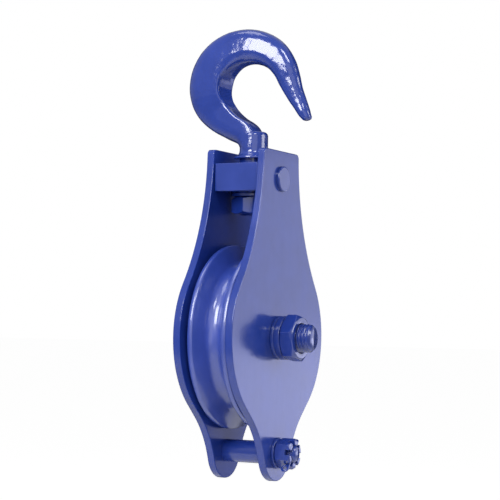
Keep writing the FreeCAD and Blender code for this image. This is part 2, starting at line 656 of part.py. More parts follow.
class Station:
    """One section of the hook, square to its path in the YZ plane."""

    def __init__(self, centre, angle, width, thickness, form):
        self.centre, self.angle = centre, angle
        self.width, self.thickness, self.form = width, thickness, form

    def wire(self):
        """A closed curve: round where form is 0, fuller towards the inside of the hook where it is 1."""
        outward = Vector(0, math.cos(self.angle), math.sin(self.angle))
        power = 1 - SQUARENESS * self.form
        points = []
        for number in range(RING_POINTS):
            turn = 2 * math.pi * number / RING_POINTS
            across, side = math.cos(turn), math.sin(turn)
            across = math.copysign(abs(across) ** power, across)
            side = math.copysign(abs(side) ** power, side) * (1 - TAPER * self.form * across)
            points.append(self.centre + outward * (across * self.width / 2)
                          + Vector(side * self.thickness / 2, 0, 0))
        curve = Part.BSplineCurve()
        curve.interpolate(points, PeriodicFlag=True)
        return Part.Wire([curve.toShape()])


def bowl_station(degrees):
    """A section of the round bowl; widest at the swell, slimmer towards throat and tip."""
    swell = size_of("SwellAngle")
    if degrees < swell:
        share, power, end = (swell - degrees) / (swell - size_of("ThroatAngle")), BACK_POWER, "Throat"
    else:
        share, power, end = (degrees - swell) / (size_of("TipRootAngle") - swell), FRONT_POWER, "TipRoot"
    width = blend(size_of("SwellWidth"), size_of(end + "Width"), share, power)
    thickness = blend(size_of("SwellThickness"), size_of(end + "Thickness"), share, power)
    turn = math.radians(degrees)
    half_wide, half_deep = size_of("BowlWidth / 2"), size_of("BowlDepth / 2")
    inside = Vector(0, size_of("BowlOffset") + half_wide * math.cos(turn),
                    size_of("BowlHeight") + half_deep * math.sin(turn))
    outward = Vector(0, math.cos(turn) / half_wide, math.sin(turn) / half_deep).normalize()
    return Station(inside + outward * (width / 2), math.atan2(outward.z, outward.y), width, thickness, 1)


def neck_stations():
    """The bend from inside the round neck into the bowl."""
    stem, thickness = size_of("StemWidth"), size_of("StemThickness")
    throat = bowl_station(size_of("ThroatAngle"))
    start = UP * size_of("StemStart")
    ahead = Vector(0, -math.sin(throat.angle), math.cos(throat.angle))
    handles = [start, start + UP * (stem * NECK_PULL),
               throat.centre - ahead * (stem * THROAT_PULL), throat.centre]
    below = start - UP * size_of("StemRoot")
    stations = [Station(below, 0, stem, thickness, 0), Station(start, 0, stem, thickness, 0)]
    for share in NECK_SHARES:
        rest = 1 - share
        weights = (rest ** 3, 3 * rest ** 2 * share, 3 * rest * share ** 2, share ** 3)
        slopes = (-rest ** 2, rest ** 2 - 2 * rest * share, 2 * rest * share - share ** 2, share ** 2)
        centre, along = Vector(), Vector()
        for handle, weight, slope in zip(handles, weights, slopes):
            centre += handle * weight
            along += handle * slope
        angle = math.atan2(-along.y, along.z)
        stations.append(Station(centre, angle, blend(stem, throat.width, share, NECK_WIDTH_POWER),
                                blend(thickness, throat.thickness, share, 1), share))
    return stations


def tip_stations():
    """The slim tip that leans away from the shank and ends round."""
    root = bowl_station(size_of("TipRootAngle"))
    flare = math.radians(size_of("TipFlare"))
    along = Vector(0, -math.sin(flare), -math.cos(flare))
    angle = math.pi - flare
    outward = Vector(0, math.cos(angle), math.sin(angle))
    length, end_width = size_of("TipLength"), size_of("TipWidth")
    straight = length - end_width / 2
    end_thickness = size_of("TipThickness")
    stations = []
    for share in TIP_SHARES:
        cut = size_of("TipHollow") * math.sin(math.pi * share) ** 2
        stations.append(Station(root.centre + along * (straight * share) - outward * (cut / 2), angle,
                                blend(root.width, end_width, share, TIP_WIDTH_POWER) - cut,
                                blend(root.thickness, end_thickness, share, TIP_THICKNESS_POWER),
                                blend(1, TIP_FORM, share, 1)))
    for turn in TIP_END_TURNS:
        lean = math.radians(turn)
        shift = outward * (size_of("TipEndShift") * (1 - math.cos(lean)))
        centre = root.centre + along * (straight + end_width / 2 * math.sin(lean)) + shift
        stations.append(Station(centre, angle, end_width * math.cos(lean), end_thickness * math.cos(lean),
                                TIP_FORM))
    return stations


def make_hook():
    collar_bottom = CROSSHEAD_TOP + " + CollarRise"
    collar_top = collar_bottom + " + CollarHeight"
    flare_top = collar_top + " + CollarFlare"
    thread, stem, collar, neck = ("%sDiameter / 2" % word for word in ("Thread", "Shank", "Collar", "Neck"))
    end = HOOK_NUT_BOTTOM + " - ShankOverhang"
    shank = turned("HookShank", [
        ("0", end), (thread + " - EndChamfer", end), (thread, end + " + EndChamfer"), (thread, WASHER_TOP),
        (stem, WASHER_TOP), (stem, collar_bottom), (collar, collar_bottom), (collar, collar_top),
        (neck, flare_top), (neck, "NeckTop"), ("0", "NeckTop")])
    for name, size, radius, height in (("CollarRimEdge", "CollarRimRadius", collar, collar_top),
                                       ("CollarFlareHollow", "CollarFlareRadius", neck, flare_top),
                                       ("NeckShoulderEdge", "NeckShoulder", neck, "NeckTop")):
        radius, height = size_of(radius), size_of(height)
        rounded(shank, name, size, lambda edge: is_ring(edge, radius, height))
    throat, swell, tip_root = size_of("ThroatAngle"), size_of("SwellAngle"), size_of("TipRootAngle")
    turns = [throat + (swell - throat) * step / BACK_STATIONS for step in range(BACK_STATIONS)]
    turns += [swell + (tip_root - swell) * step / FRONT_STATIONS for step in range(FRONT_STATIONS + 1)]
    bowl = [bowl_station(turn) for turn in turns]
    stations = neck_stations() + bowl + tip_stations()
    forging = doc.addObject("Part::Feature", "HookForging")
    forging.Shape = Part.makeLoft([station.wire() for station in stations], True)
    whole = combine("Fuse", "HookWhole", forging, shank)
    wide = "NutPinDiameter + 2 * ThreadGap"
    drilled = combine("Cut", "Hook", whole, nut_pin_rod("HookPinHole", wide, 2))
    place(drilled, "hook", z=TRUNNIONS)
    washer = tube("HookWasher", "HookWasherDiameter / 2", "ThreadDiameter / 2 + BoltHoleGap",
                  "-HookWasherThickness", "0")
    place(washer, "hook_washer", z=TRUNNIONS + " + " + WASHER_TOP)
    block = hexagon("HookNut", "HookNutWidth", HOOK_NUT_BOTTOM, "HookNutHeight")
    bore = rod("HookNutBore", "ThreadDiameter + ThreadGap * 2", "HookNutHeight * 8")
    nut = combine("Cut", "HookNutBored", block, bore)
    nut = combine("Cut", "HookNutPiece", nut, nut_pin_rod("HookNutPinHole", wide, 2))
    place(nut, "hook_nut", z=TRUNNIONS)
    place(nut_pin_rod("HookNutPin", "NutPinDiameter", 1), "hook_nut_pin", turn=Rotation(Vector(1, 0, 0), 90),
          y="HookNutWidth / 2", z="%s + %s + HookNutHeight / 2" % (TRUNNIONS, HOOK_NUT_BOTTOM))


def nut_pin_rod(name, diameter, stretch):
    """A rod along Y through the middle of the hook nut."""
    middle = Vector(0, 0, size_of(HOOK_NUT_BOTTOM + " + HookNutHeight / 2"))
    return rod(name, diameter, "HookNutWidth * %d" % stretch, middle, Rotation(Vector(1, 0, 0), 90))


def make_all():
    for label, side in (("cheek_right", -1), ("cheek_left", 1)):
        make_cheek(label, side)
    make_sheave()
    make_axle()
    make_tie()
    make_crosshead()
    make_hook()
    doc.recompute()


def check_all():
    for item in doc.Objects:
        if "Invalid" in item.State or "Error" in item.State:
            raise RuntimeError("failed: " + item.Label)
    for item in NODES:
        if item.Shape.isNull() or not item.Shape.isValid() or len(item.Shape.Solids) != 1:
            raise RuntimeError("bad shape: " + item.Label)


make_all()
check_all()
os.makedirs("parts", exist_ok=True)
for item in NODES:
    item.Shape.exportStep("parts/%s.step" % item.Label)
    print(item.Label, "volume %.0f" % item.Shape.Volume)
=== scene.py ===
# %% [markdown]
# # A lifting block with a swivel hook
#
# The solid model gives every piece of this block its place and its main shape. This lesson dresses it:
# a forged hook with hammer marks, cut threads, a spun sheave, nuts with worn corners, and a coat of
# glossy blue enamel over nearly everything. The first step loads the solid model as a fixed frame, so that
# each piece made later can be set exactly where the solids say.

# %% Load the frame
import bmesh
import bpy
import json
import math
from mathutils import Matrix, Vector, noise


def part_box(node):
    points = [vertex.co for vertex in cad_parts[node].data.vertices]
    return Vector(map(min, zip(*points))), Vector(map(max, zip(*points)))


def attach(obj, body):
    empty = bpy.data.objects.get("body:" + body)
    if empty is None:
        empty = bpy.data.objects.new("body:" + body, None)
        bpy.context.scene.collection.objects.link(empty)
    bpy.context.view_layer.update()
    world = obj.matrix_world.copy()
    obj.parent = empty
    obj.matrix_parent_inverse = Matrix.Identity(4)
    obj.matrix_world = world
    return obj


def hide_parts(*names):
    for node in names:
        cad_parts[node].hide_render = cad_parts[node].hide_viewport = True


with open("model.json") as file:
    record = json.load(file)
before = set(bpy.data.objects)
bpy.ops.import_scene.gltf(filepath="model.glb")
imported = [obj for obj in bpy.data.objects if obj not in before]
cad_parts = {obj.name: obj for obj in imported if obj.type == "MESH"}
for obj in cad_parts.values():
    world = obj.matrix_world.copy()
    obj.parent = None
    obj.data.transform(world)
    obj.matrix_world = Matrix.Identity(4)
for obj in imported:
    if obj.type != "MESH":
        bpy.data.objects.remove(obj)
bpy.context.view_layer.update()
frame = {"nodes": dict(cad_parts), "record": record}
MM = 0.001


# %% [markdown]
# ## Measures taken from the solids
#
# The seats of nuts and washers, the height of the crosshead and the drop of the tie bolt are read from the
# boxes of the solid pieces, so the dressed pieces follow them. Only the inside of the hook's bowl is given by
# numbers here, because both the paint and the hook need it.

# %% Read seats and heights from the solids
def low(node):
    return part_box(node)[0]


def high(node):
    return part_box(node)[1]


axle_end, head_back = low("axle_bolt").y, high("axle_bolt").y
nut_face, nut_seat = low("axle_nut").y, high("axle_nut").y
head_seat = high("axle_washer_left").y
tie_height = (low("tie_spacer").z + high("tie_spacer").z) / 2
tilt_height = (low("crosshead").z + high("crosshead").z) / 2
BOWL_WIDE, BOWL_DEEP = 21.5 * MM, 17.5 * MM
BOWL_CENTRE = Vector((0, 2.6 * MM, tilt_height + 66.4 * MM))
print("axle from %.1f to %.1f mm, tie bolt at %.1f mm, trunnions at %.1f mm"
      % (axle_end / MM, head_back / MM, tie_height / MM, tilt_height / MM))

# %% [markdown]
# ## Relief and ramps
#
# Paint and metal are built from a few kinds of nodes. A relief layer is a noise, or a field of small pits,
# that feeds a bump on top of the layer before it. A ramp turns one value into another over a given span, and
# serves both to spread a noise over a range of gloss and to fade a coat in.

# %% Helpers for relief and ramps
def noise_bump(nodes, links, place, scale, height, before, kind="noise", stretch=None):
    """One layer of relief, added on top of the layer before it."""
    if stretch:
        mapping = nodes.new("ShaderNodeMapping")
        mapping.inputs["Scale"].default_value = stretch
        links.new(place, mapping.inputs["Vector"])
        place = mapping.outputs["Vector"]
    if kind == "pits":
        texture = nodes.new("ShaderNodeTexVoronoi")
        texture.feature = "SMOOTH_F1"
        texture.inputs["Smoothness"].default_value = 0.7
        outlet = texture.outputs["Distance"]
    else:
        texture = nodes.new("ShaderNodeTexNoise")
        texture.inputs["Detail"].default_value = 4
        texture.inputs["Roughness"].default_value = 0.55
        outlet = texture.outputs["Fac"]
    texture.inputs["Scale"].default_value = scale
    links.new(place, texture.inputs["Vector"])
    bump = nodes.new("ShaderNodeBump")
    bump.inputs["Strength"].default_value = 1
    bump.inputs["Distance"].default_value = height
    links.new(outlet, bump.inputs["Height"])
    if before:
        links.new(before, bump.inputs["Normal"])
    return bump.outputs["Normal"]


def ramp(nodes, links, value, first, last, least=0, most=1):
    """From the least at the first value to the most at the last."""
    step = nodes.new("ShaderNodeMapRange")
    for name, number in (("From Min", first), ("From Max", last), ("To Min", least), ("To Max", most)):
        step.inputs[name].default_value = number
    links.new(value, step.inputs["Value"])
    return step.outputs["Result"]


print("relief and ramp helpers ready")

# %% [markdown]
# ## Blue enamel
#
# The whole block was sprayed after it was put together, so forging, plate and nuts share one deep blue paint
# under a clear gloss coat. What tells them apart is the skin beneath: pitted on the forgings, rolled and
# nearly smooth on the plates. One helper builds the paint. It mixes two near blues with a soft noise, lets
# the gloss wander a little, and stacks layers of relief: broad lumps, small pits and the fine orange peel of
# sprayed paint. Two masks say where the clear coat is thin: between the plates, where the spray gun hardly
# reached, and inside the hook's bowl, where rings rub the gloss off.

# %% A helper that builds the enamel
NOISE_SPAN = (0.3, 0.7)                            # nearly all values of a noise lie in here
PLATE_FADE = 0.4 * MM                              # the coat comes in over this depth past the inner face
LOBES_FROM, LOBES_TO, LOBE_COAT = -0.045, -0.062, 0.25
WORN_UP_TO, GLOSSY_FROM, WORN_COAT = 1.02, 1.07, 0.15  # distances as shares of the bowl's inside
CLOUD_SCALE = 45
PAINT_IOR, COAT_IOR = 1.5, 1.6


def well_sprayed(nodes, links, place, reach):
    """The coat of the plates: full outside them, and between them a thin one on the low lobes only."""
    parts = nodes.new("ShaderNodeSeparateXYZ")
    links.new(place, parts.inputs["Vector"])
    away = nodes.new("ShaderNodeMath")
    away.operation = "ABSOLUTE"
    links.new(parts.outputs["Y"], away.inputs[0])
    either = nodes.new("ShaderNodeMath")
    either.operation = "MAXIMUM"
    links.new(ramp(nodes, links, away.outputs[0], reach, reach + PLATE_FADE), either.inputs[0])
    links.new(ramp(nodes, links, parts.outputs["Z"], LOBES_FROM, LOBES_TO, 0, LOBE_COAT), either.inputs[1])
    return either.outputs[0]


def worn_inside(nodes, links, place, centre, wide, deep):
    """The coat of the hook: thin on the inside of the bowl, and full elsewhere."""
    value = place
    steps = (("SUBTRACT", centre), ("MULTIPLY", (0, 1 / wide, 1 / deep)), ("LENGTH", (0, 0, 0)))
    for operation, operand in steps:
        step = nodes.new("ShaderNodeVectorMath")
        step.operation = operation
        step.inputs[1].default_value = operand
        links.new(value, step.inputs[0])
        value = step.outputs["Value" if operation == "LENGTH" else "Vector"]
    return ramp(nodes, links, value, WORN_UP_TO, GLOSSY_FROM, WORN_COAT)


def enamel(name, deep, light, gloss, coat, layers, coat_mask=None, base_shine=0.15):
    """Blue paint between two colours, its gloss between two values, under a coat of one roughness."""
    material = bpy.data.materials.new(name)
    material.use_nodes = True
    nodes, links = material.node_tree.nodes, material.node_tree.links
    surface = nodes["Principled BSDF"]
    place = nodes.new("ShaderNodeTexCoord").outputs["Object"]
    clouds = nodes.new("ShaderNodeTexNoise")
    clouds.inputs["Scale"].default_value = CLOUD_SCALE
    clouds.inputs["Detail"].default_value = 3
    links.new(place, clouds.inputs["Vector"])
    blues = nodes.new("ShaderNodeMix")
    blues.data_type = "RGBA"
    blues.inputs["A"].default_value = (*deep, 1)
    blues.inputs["B"].default_value = (*light, 1)
    links.new(ramp(nodes, links, clouds.outputs["Fac"], *NOISE_SPAN), blues.inputs["Factor"])
    links.new(blues.outputs["Result"], surface.inputs["Base Color"])
    links.new(ramp(nodes, links, clouds.outputs["Fac"], *NOISE_SPAN, *gloss), surface.inputs["Roughness"])
    relief = None
    for layer in layers:
        relief = noise_bump(nodes, links, place, before=relief, **layer)
    links.new(relief, surface.inputs["Normal"])
    links.new(relief, surface.inputs["Coat Normal"])
    surface.inputs["IOR"].default_value = PAINT_IOR
    surface.inputs["Coat Weight"].default_value = 1
    surface.inputs["Coat Roughness"].default_value = coat
    surface.inputs["Coat IOR"].default_value = COAT_IOR
    surface.inputs["Specular IOR Level"].default_value = base_shine
    if coat_mask:
        helper, *measures = coat_mask
        links.new(helper(nodes, links, place, *measures), surface.inputs["Coat Weight"])
    return material


print("enamel helper ready")

# %% [markdown]
# ## The finishes of this block
#
# The forgings get all three layers of relief, the plates get faint upright streaks left by the spray gun
# instead of pits, and the crosshead, the sheave and the small hardware only lumps and peel. The sheave's blue
# is painted a shade lighter. This is painted light: it stands in for the light that hardly finds its way
# between the plates. The bush and the thrust washers were never painted, so they are plain machined metal
# with fine turning lines.

# %% Make the paints and the bare metals
DEEP, LIGHT = (0.009, 0.029, 0.205), (0.016, 0.040, 0.255)
# the sheave's two blues are painted lighter than the other paints, as painted light for the dim space between
# the plates
SHEAVE_DEEP_PAINTED_LIGHTER, SHEAVE_LIGHT_PAINTED_LIGHTER = (0.016, 0.042, 0.27), (0.026, 0.056, 0.33)
PLATE_INSIDE = low("cheek_left").y + 0.2 * MM
forging_paint = enamel("forging enamel", DEEP, LIGHT, (0.14, 0.24), 0.12, [
    dict(scale=70, height=0.0005),
    dict(scale=280, height=0.00009, kind="pits"),
    dict(scale=800, height=0.00001)], coat_mask=(worn_inside, BOWL_CENTRE, BOWL_WIDE, BOWL_DEEP))
crosshead_paint = enamel("crosshead enamel", DEEP, LIGHT, (0.14, 0.22), 0.15, [
    dict(scale=60, height=0.00020),
    dict(scale=1000, height=0.000015)])
cheek_paint = enamel("plate enamel", DEEP, LIGHT, (0.30, 0.40), 0.17, [
    dict(scale=60, height=0.00012, stretch=(1, 1, 0.12)),
    dict(scale=160, height=0.00004),
    dict(scale=1300, height=0.00001)], coat_mask=(well_sprayed, PLATE_INSIDE), base_shine=0.04)
# the sheave's paint takes the lighter blues: painted light for the shade between the plates
sheave_paint = enamel("sheave enamel", SHEAVE_DEEP_PAINTED_LIGHTER, SHEAVE_LIGHT_PAINTED_LIGHTER, (0.42, 0.52), 0.16, [
    dict(scale=90, height=0.00015),
    dict(scale=1000, height=0.00002)], base_shine=0.6)
fastener_paint = enamel("hardware enamel", DEEP, LIGHT, (0.14, 0.22), 0.12, [
    dict(scale=220, height=0.00012),
    dict(scale=1200, height=0.00002)])


def bare_metal(name, colour, roughness):
    material = bpy.data.materials.new(name)
    material.use_nodes = True
    nodes, links = material.node_tree.nodes, material.node_tree.links
    surface = nodes["Principled BSDF"]
    surface.inputs["Base Color"].default_value = (*colour, 1)
    surface.inputs["Metallic"].default_value = 1
    place = nodes.new("ShaderNodeTexCoord").outputs["Object"]
    stains = nodes.new("ShaderNodeTexNoise")
    stains.inputs["Scale"].default_value = 150
    links.new(place, stains.inputs["Vector"])
    links.new(ramp(nodes, links, stains.outputs["Fac"], *NOISE_SPAN, *roughness), surface.inputs["Roughness"])
    relief = noise_bump(nodes, links, place, 500, 0.0001, None, stretch=(1, 0.1, 1))
    links.new(relief, surface.inputs["Normal"])
    return material


bronze = bare_metal("bush bronze", (0.60, 0.42, 0.20), (0.28, 0.42))
steel = bare_metal("machined steel", (0.46, 0.47, 0.49), (0.25, 0.40))
FINISHES = {"forging_enamel": forging_paint, "cheek_enamel": cheek_paint, "sheave_enamel": sheave_paint,
            "fastener_enamel": fastener_paint, "bush_bronze": bronze, "washer_steel": steel}
print("finishes:", ", ".join(FINISHES))

# %% [markdown]
# ## Paint the pieces that keep their solid shape
#
# The plates, the crosshead, the spacer, the split pin, the bush and the thrust washers already have the right
# shape in the solid model. They only need their paint, which goes on the material slots of the loaded
# objects. The other solids are painted along with them, and give way below to pieces made in more detail.

# %% Put each finish on its slot
for entry in frame["record"]["subparts"]:
    slots = frame["nodes"][entry["node"]].data.materials
    slots.clear()
    slots.append(crosshead_paint if entry["node"] == "crosshead" else FINISHES[entry["material_slot"]])

# %% [markdown]
# ## Two ways to make a round or swept piece
#
# Turned pieces come from a profile spun about an axis, and the hook from sections strung along a path.
# Both end as a stack of rings with the same number of points, so one helper joins rings into a smooth
# mesh. Points that fall together are merged, and edges sharper than a set angle stay crisp.

# %% Helpers for stacked rings
SAME_POINT = 1e-7


def from_rings(name, rings, finish, crisp=35, loop=False):
    """Join rings of equal length into one mesh; the end rings are filled unless the stack is a loop."""
    count = len(rings[0])
    points = [point for ring in rings for point in ring]
    pairs = list(zip(range(len(rings)), range(1, len(rings))))
    if loop:
        pairs.append((len(rings) - 1, 0))
    faces = []
    for here, there in pairs:
        for number in range(count):
            after = (number + 1) % count
            faces.append((here * count + number, here * count + after,
                          there * count + after, there * count + number))
    if not loop:
        faces.append(tuple(reversed(range(count))))
        faces.append(tuple(range(len(points) - count, len(points))))
    mesh = bpy.data.meshes.new(name)
    mesh.from_pydata(points, [], faces)
    skin = bmesh.new()
    skin.from_mesh(mesh)
    bmesh.ops.remove_doubles(skin, verts=skin.verts, dist=SAME_POINT)
    bmesh.ops.recalc_face_normals(skin, faces=skin.faces)
    skin.to_mesh(mesh)
    skin.free()
    mesh.shade_smooth()
    mesh.set_sharp_from_angle(angle=math.radians(crisp))
    mesh.materials.append(FINISHES[finish])
    piece = bpy.data.objects.new(name, mesh)
    bpy.context.scene.collection.objects.link(piece)
    return piece


def on_axle(radius, turn, along, height=0):
    """A point beside a line along Y at a height: turn counts from +X upwards, along is the Y coordinate."""
    return Vector((radius * math.cos(turn), along, radius * math.sin(turn) + height))


def plain_ring(radius, along, height=0, steps=64):
    return [on_axle(radius, 2 * math.pi * step / steps, along, height) for step in range(steps)]


def turned(name, profile, finish, steps=128, crisp=35, hollow=False, height=0):
    """Spin a profile of (radius, y) about a line along Y at a height."""
    rings = [plain_ring(radius, along, height, steps) for radius, along in profile]
    return from_rings(name, rings, finish, crisp, loop=hollow)


def arc(centre, radius, first, last, steps):
    """Points on a circle in (radius, y), between two angles in degrees."""
    turns = [math.radians(first + (last - first) * step / steps) for step in range(steps + 1)]
    return [(centre[0] + radius * math.cos(t), centre[1] + radius * math.sin(t)) for t in turns]


print("ring helpers ready")

# %% [markdown]
# ## The sheave
#
# The rope wheel is a casting with a machined groove: round at the bottom, its flanks opening outwards,
# with soft lips on the two rims. A spun profile with many steps gives a rim that is truly round where it
# passes the open side of the block.

# %% Spin the sheave
WHEEL, TREAD, GROOVE, OPENING = 66 * MM, 51 * MM, 7.5 * MM, 22.5
RIM_HALF, LIP = 15 * MM, 1.1 * MM
RIM_INSIDE, HUB, HUB_BORE = 42 * MM, 23 * MM, 13.5 * MM
WEB_HALF, FILLET = 6 * MM, 3 * MM


def sheave_profile():
    """The groove, then one side from its lip over rim and web to the bore, then the other side back."""
    groove = arc((TREAD + GROOVE, 0), GROOVE, 270 - OPENING, 90 + OPENING, 16)
    touch = groove[-1]
    lip_y = touch[1] + (WHEEL - LIP - touch[0]) * math.tan(math.radians(OPENING)) + LIP * 0.4
    rim = [(WHEEL - LIP * 0.9, lip_y - LIP * 0.25), (WHEEL - LIP * 0.25, lip_y + LIP * 0.3),
           (WHEEL, lip_y + LIP), (WHEEL, RIM_HALF - LIP), (WHEEL - LIP * 0.3, RIM_HALF - LIP * 0.3),
           (WHEEL - LIP, RIM_HALF), (RIM_INSIDE, RIM_HALF)]
    web = [(RIM_INSIDE, WEB_HALF + FILLET), (RIM_INSIDE - FILLET * 0.3, WEB_HALF + FILLET * 0.3),
           (RIM_INSIDE - FILLET, WEB_HALF), (HUB + FILLET, WEB_HALF),
           (HUB + FILLET * 0.3, WEB_HALF + FILLET * 0.3), (HUB, WEB_HALF + FILLET)]
    hub = [(HUB, high("sheave").y), (HUB_BORE, high("sheave").y)]
    upper = rim + web + hub
    return groove + upper + [(radius, -along) for radius, along in reversed(upper)]


sheave = turned("wheel", sheave_profile(), "sheave_enamel", steps=192, crisp=40, hollow=True)
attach(sheave, "sheave")
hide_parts("sheave")
print("sheave %.0f mm across, groove radius %.1f mm" % (2 * WHEEL / MM, GROOVE / MM))

# %% [markdown]
# ## Cut threads
#
# The axle and the tie bolt show their threads where they leave the nuts. A thread is a single ridge that
# climbs one pitch per turn, so the mesh is a grid round the bolt in which each point's depth depends on
# both its height and its turn. The crests are flat and the first turns fade into a chamfer.

# %% A helper for threaded ends
THREAD_DEEP, ROWS_A_PITCH = 0.55, 12               # depth in pitches, rows of the grid in each pitch
CREST_FROM, FLANK = 0.92, 0.72                     # shares of half a pitch


def thread_depth(phase, depth):
    """Depth below the crest at a phase from 0 to 1: a flat crest, straight flanks and a narrow root."""
    away = abs((phase % 1) - 0.5) * 2
    return depth * min(1, max(0, (CREST_FROM - away) / FLANK))


def threaded_rings(radius, pitch, start, end, chamfer, height=0, steps=64):
    """Rings of a thread that runs along -Y from start to end, with a chamfered end."""
    rows = max(2, int(abs(end - start) / (pitch / ROWS_A_PITCH)))
    rings = []
    for row in range(rows + 1):
        along = start + (end - start) * row / rows
        limit = radius - chamfer + abs(end - along)
        ring = []
        for step in range(steps):
            cut = thread_depth(abs(along) / pitch - step / steps, pitch * THREAD_DEEP)
            ring.append(on_axle(min(radius - cut, limit), 2 * math.pi * step / steps, along, height))
        rings.append(ring)
    return rings


print("thread helper ready")

# %% [markdown]
# ## Hexagon nuts and heads
#
# A nut is cut from hexagonal bar and its corners are turned off, which leaves the curved edges at both
# ends. The outline is worked out point by point: the hexagon's reach in each direction, cut by a cone.
# A small bevel then softens every edge, as thick paint does.

# %% A helper for hexagons
HEX_STEPS = 72
LAND = 0.475                                       # radius of the flat end, as a share of the width
TURNED_OFF = math.tan(math.radians(30))


def hexagon_reach(width, turn):
    """How far a hexagon reaches in a direction, counted from the middle of a flat."""
    return width / 2 / math.cos((turn + math.pi / 6) % (math.pi / 3) - math.pi / 6)


def hexagon_rings(width, start, end, turn=0):
    """Rings of a hexagon along Y between two faces, with the corners of both ends turned off."""
    land = width * LAND
    inward = 1 if end > start else -1
    turns = [2 * math.pi * step / HEX_STEPS for step in range(HEX_STEPS)]

    def corners(seat, sign):
        """The ring where the flats end: the further out a point lies, the further it is set back."""
        return [on_axle(hexagon_reach(width, angle), angle + turn,
                        seat + sign * max(0, hexagon_reach(width, angle) - land) * TURNED_OFF)
                for angle in turns]

    def flat_end(seat):
        return [on_axle(land, angle + turn, seat) for angle in turns]

    return [flat_end(start), corners(start, inward), corners(end, -inward), flat_end(end)]


def soften(piece, width, angle=28, segments=2):
    """Bevel the edges sharper than an angle, and keep the result as the piece's mesh."""
    bevel = piece.modifiers.new("soft edges", "BEVEL")
    bevel.width = width
    bevel.segments = segments
    bevel.limit_method = "ANGLE"
    bevel.angle_limit = math.radians(angle)
    piece.modifiers.new("flat faces stay flat", "WEIGHTED_NORMAL")
    depsgraph = bpy.context.evaluated_depsgraph_get()
    mesh = bpy.data.meshes.new_from_object(piece.evaluated_get(depsgraph))
    piece.modifiers.clear()
    piece.data = mesh
    return piece


def hexagon_nut(name, width, seat, face, bore, turn):
    """A hexagon nut round a bore that opens a little at both ends."""
    mouth, sunk = bore + 0.8 * MM, (seat - face) * 0.08
    inner = [plain_ring(radius, along, 0, HEX_STEPS) for radius, along in
             ((mouth, face), (bore, face + sunk), (bore, seat - sunk), (mouth, seat))]
    rings = hexagon_rings(width, seat, face, turn) + inner
    return soften(from_rings(name, rings, "fastener_enamel", loop=True), 0.45 * MM)


print("hexagon helpers ready")

# %% [markdown]
# ## The axle bolt and its nut
#
# The bolt runs through both plates, with its head on the far side. Near the camera its thread stands out
# of a thin nut. The nut is a ring of its own, with the bore left open round the thread.

# %% Build the axle bolt and nut
AXLE_RADIUS, AXLE_PITCH, AXLE_HEX = 10 * MM, 2.5 * MM, 30 * MM
NUT_TURN = math.radians(17)
THREAD_START = 0.1 * MM                            # the thread starts this far under the nut's seat
BORE_GAP = 0.05 * MM


def make_axle_bolt():
    head = from_rings("axle_head_dressed", hexagon_rings(AXLE_HEX, head_back, head_seat), "fastener_enamel")
    soften(head, 0.5 * MM)
    shank = [plain_ring(AXLE_RADIUS, head_seat), plain_ring(AXLE_RADIUS, nut_seat)]
    shank += threaded_rings(AXLE_RADIUS, AXLE_PITCH, nut_seat - THREAD_START, axle_end, 1.5 * MM)
    bolt = from_rings("axle_bolt_dressed", shank, "fastener_enamel", crisp=60)
    head.parent = bolt
    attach(bolt, "frame")
    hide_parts("axle_bolt")


make_axle_bolt()
axle_nut = hexagon_nut("axle_nut_dressed", AXLE_HEX, nut_seat, nut_face, AXLE_RADIUS + BORE_GAP, NUT_TURN)
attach(axle_nut, "frame")
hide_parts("axle_nut")
print("axle thread pitch %.1f mm, %d turns beyond the nut"
      % (AXLE_PITCH / MM, (nut_face - axle_end) / AXLE_PITCH))

# %% [markdown]
# ## Washers
#
# Flat washers are punched from sheet, so their edges are a little round, and the paint rounds them more. The
# spring washer is a bar bent into a ring and cut on the slant. Each one reads its place from its solid.

# %% Make the washers
AXLE_WASHER_BORE, TIE_WASHER_BORE = AXLE_RADIUS + 0.3 * MM, 6.3 * MM


def washer_edge(bore, outer, start, end, edge):
    """A section of a flat ring with rounded edges, from the outside round to the bore."""
    return (arc((outer - edge, start + edge), edge, -90, 0, 4)
            + arc((outer - edge, end - edge), edge, 0, 90, 4)
            + arc((bore + edge, end - edge), edge, 90, 180, 3)
            + arc((bore + edge, start + edge), edge, 180, 270, 3))


def make_washer(node, bore, height=0, edge=0.5 * MM):
    profile = washer_edge(bore, high(node).x, low(node).y, high(node).y, edge)
    washer = turned(node + "_dressed", profile, "fastener_enamel", 96, 50, True, height)
    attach(washer, "frame")
    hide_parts(node)


def make_spring_washer(node, bore, split, slant, steps=96):
    """A bent bar whose two ends face each other across a slanting cut, on the side of +X."""
    start, end, outer = low(node).y, high(node).y, high(node).z
    profile = washer_edge(bore, outer, start, end, 0.45 * MM)
    half, rings = split / 2 / outer, []
    for step in range(steps + 1):
        turn = half + (2 * math.pi - 2 * half) * step / steps
        rings.append([on_axle(radius, turn + (along - (start + end) / 2) * math.tan(slant) / outer, along)
                      for radius, along in profile])
    washer = from_rings(node + "_dressed", rings, "fastener_enamel", 50)
    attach(washer, "frame")
    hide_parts(node)


make_washer("axle_washer_right", AXLE_WASHER_BORE)
make_washer("axle_washer_left", AXLE_WASHER_BORE)
make_washer("tie_washer", TIE_WASHER_BORE, tie_height, 0.4 * MM)
make_spring_washer("axle_spring_washer", AXLE_WASHER_BORE, 1.6 * MM, math.radians(20))
print("washers %.1f mm across" % (2 * high("axle_washer_right").x / MM))

# %% [markdown]
# ## The forged hook
#
# This is the piece the eye goes to. It grows out of a round neck, leans back, swings round the bowl and
# thins to a slender tip. A few sections set square to the path carry that shape, the same ones as in the
# solid model, and smooth curves through their places and sizes give all the sections between.

